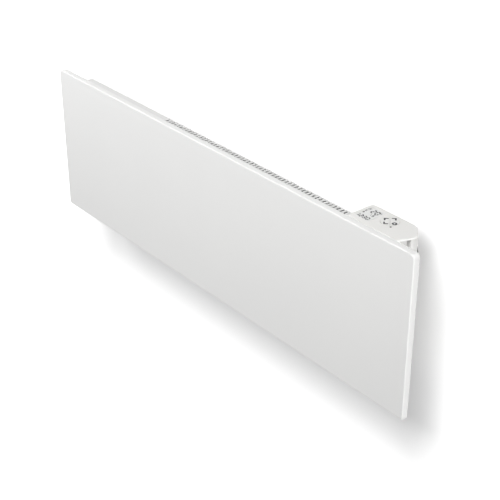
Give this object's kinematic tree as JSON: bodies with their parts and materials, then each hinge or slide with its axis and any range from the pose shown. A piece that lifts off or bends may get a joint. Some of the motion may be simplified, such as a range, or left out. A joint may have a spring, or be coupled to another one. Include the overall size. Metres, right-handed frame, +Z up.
{
  "type": "wall panel convector heater",
  "caption": "Low, wide wall heater: flat folded steel front, slotted convection casing, finned element, top-facing controls at the right, hung on a two-hook wall bracket.",
  "frame": {"origin": "on the wall plane, at the middle of the wall bracket's rear face", "axes": "+X to the right as seen from the room, +Y into the wall, +Z up; the front panel faces -Y"},
  "size_m": [0.7166, 0.08, 0.22],
  "materials": {
    "front_coat": "fine matt white powder coat",
    "casing_coat": "matt white powder coat",
    "zinc_sheet": "zinc-plated sheet, faint spangle",
    "aluminium": "bright rolled or extruded aluminium",
    "housing_plastic": "fine-grained white moulding",
    "key_plastic": "smooth white moulding with dark printed marks",
    "lens_plastic": "pale translucent window",
    "dark_plastic": "black moulding",
    "latch_plastic": "black nylon",
    "rubber": "soft black rubber",
    "ceramic": "unglazed insulating ceramic",
    "circuit_board": "green solder mask",
    "relay_case": "blue moulded case",
    "winding": "lacquered copper winding on a steel core",
    "screw_steel": "zinc-plated screw steel",
    "live_sleeve": "brown insulation",
    "neutral_sleeve": "blue insulation",
    "earth_sleeve": "green and yellow insulation"
  },
  "bodies": {
    "bracket": {"bracket_upright_left": "zinc_sheet", "bracket_upright_right": "zinc_sheet", "bracket_crossbar": "zinc_sheet", "glide_pad_left": "rubber", "glide_pad_right": "rubber"},
    "key_ok": {"key_ok": "key_plastic"},
    "key_up": {"key_up": "key_plastic"},
    "key_back": {"key_back": "key_plastic"},
    "key_down": {"key_down": "key_plastic"},
    "rocker": {"switch_rocker": "dark_plastic"},
    "latch_left": {"turn_latch_left": "latch_plastic"},
    "latch_right": {"turn_latch_right": "latch_plastic"},
    "heater": {"front_panel": "front_coat", "panel_rail_upper": "zinc_sheet", "panel_rail_lower": "zinc_sheet", "heat_shield": "aluminium", "rear_casing": "casing_coat", "end_plate_left": "casing_coat", "end_plate_right": "casing_coat", "casing_screw_upper_1": "screw_steel", "casing_screw_upper_2": "screw_steel", "casing_screw_upper_3": "screw_steel", "casing_screw_lower_1": "screw_steel", "casing_screw_lower_2": "screw_steel", "casing_screw_lower_3": "screw_steel", "heating_element": "aluminium", "element_bracket_left": "zinc_sheet", "element_bracket_right": "zinc_sheet", "element_bush_left": "ceramic", "element_bush_right": "ceramic", "thermal_cutout": "dark_plastic", "control_housing": "housing_plastic", "control_cap": "housing_plastic", "display_lens": "lens_plastic", "display_module": "dark_plastic", "key_board": "circuit_board", "key_mat": "rubber", "status_light_pipe": "dark_plastic", "power_board": "circuit_board", "relay": "relay_case", "transformer": "winding", "filter_capacitor": "relay_case", "terminal_block": "dark_plastic", "switch_body": "dark_plastic", "passage_bush": "rubber", "cord_gland": "rubber", "cord_clamp": "zinc_sheet", "air_sensor": "dark_plastic", "element_lead_left": "live_sleeve", "element_lead_right": "live_sleeve", "cutout_lead": "neutral_sleeve", "earth_screw": "screw_steel", "earth_lead": "earth_sleeve", "flex_lead": "lens_plastic"}
  },
  "joints": [
    {"name": "heater_lift", "type": "slide", "parent": "bracket", "child": "heater", "axis": [0, 0, 1], "range_m": [0, 0.014]},
    {"name": "key_ok_press", "type": "slide", "parent": "heater", "child": "key_ok", "axis": [0, 0, -1], "range_m": [0, 0.0006], "stiffness_N_per_m": 200, "springref_m": -0.0005},
    {"name": "key_up_press", "type": "slide", "parent": "heater", "child": "key_up", "axis": [0, 0, -1], "range_m": [0, 0.0006], "stiffness_N_per_m": 200, "springref_m": -0.0005},
    {"name": "key_back_press", "type": "slide", "parent": "heater", "child": "key_back", "axis": [0, 0, -1], "range_m": [0, 0.0006], "stiffness_N_per_m": 200, "springref_m": -0.0005},
    {"name": "key_down_press", "type": "slide", "parent": "heater", "child": "key_down", "axis": [0, 0, -1], "range_m": [0, 0.0006], "stiffness_N_per_m": 200, "springref_m": -0.0005},
    {"name": "rocker_tilt", "type": "hinge", "parent": "heater", "child": "rocker", "pos_m": [0.3214, -0.03636, 0.077], "axis": [-0.7194, 0.6946, 0], "range_deg": [0, 14]},
    {"name": "latch_left_turn", "type": "hinge", "parent": "heater", "child": "latch_left", "pos_m": [-0.146, -0.038, -0.075], "axis": [0, -1, 0], "range_deg": [0, 90]},
    {"name": "latch_right_turn", "type": "hinge", "parent": "heater", "child": "latch_right", "pos_m": [0.146, -0.038, -0.075], "axis": [0, 1, 0], "range_deg": [0, 90]}
  ]
}
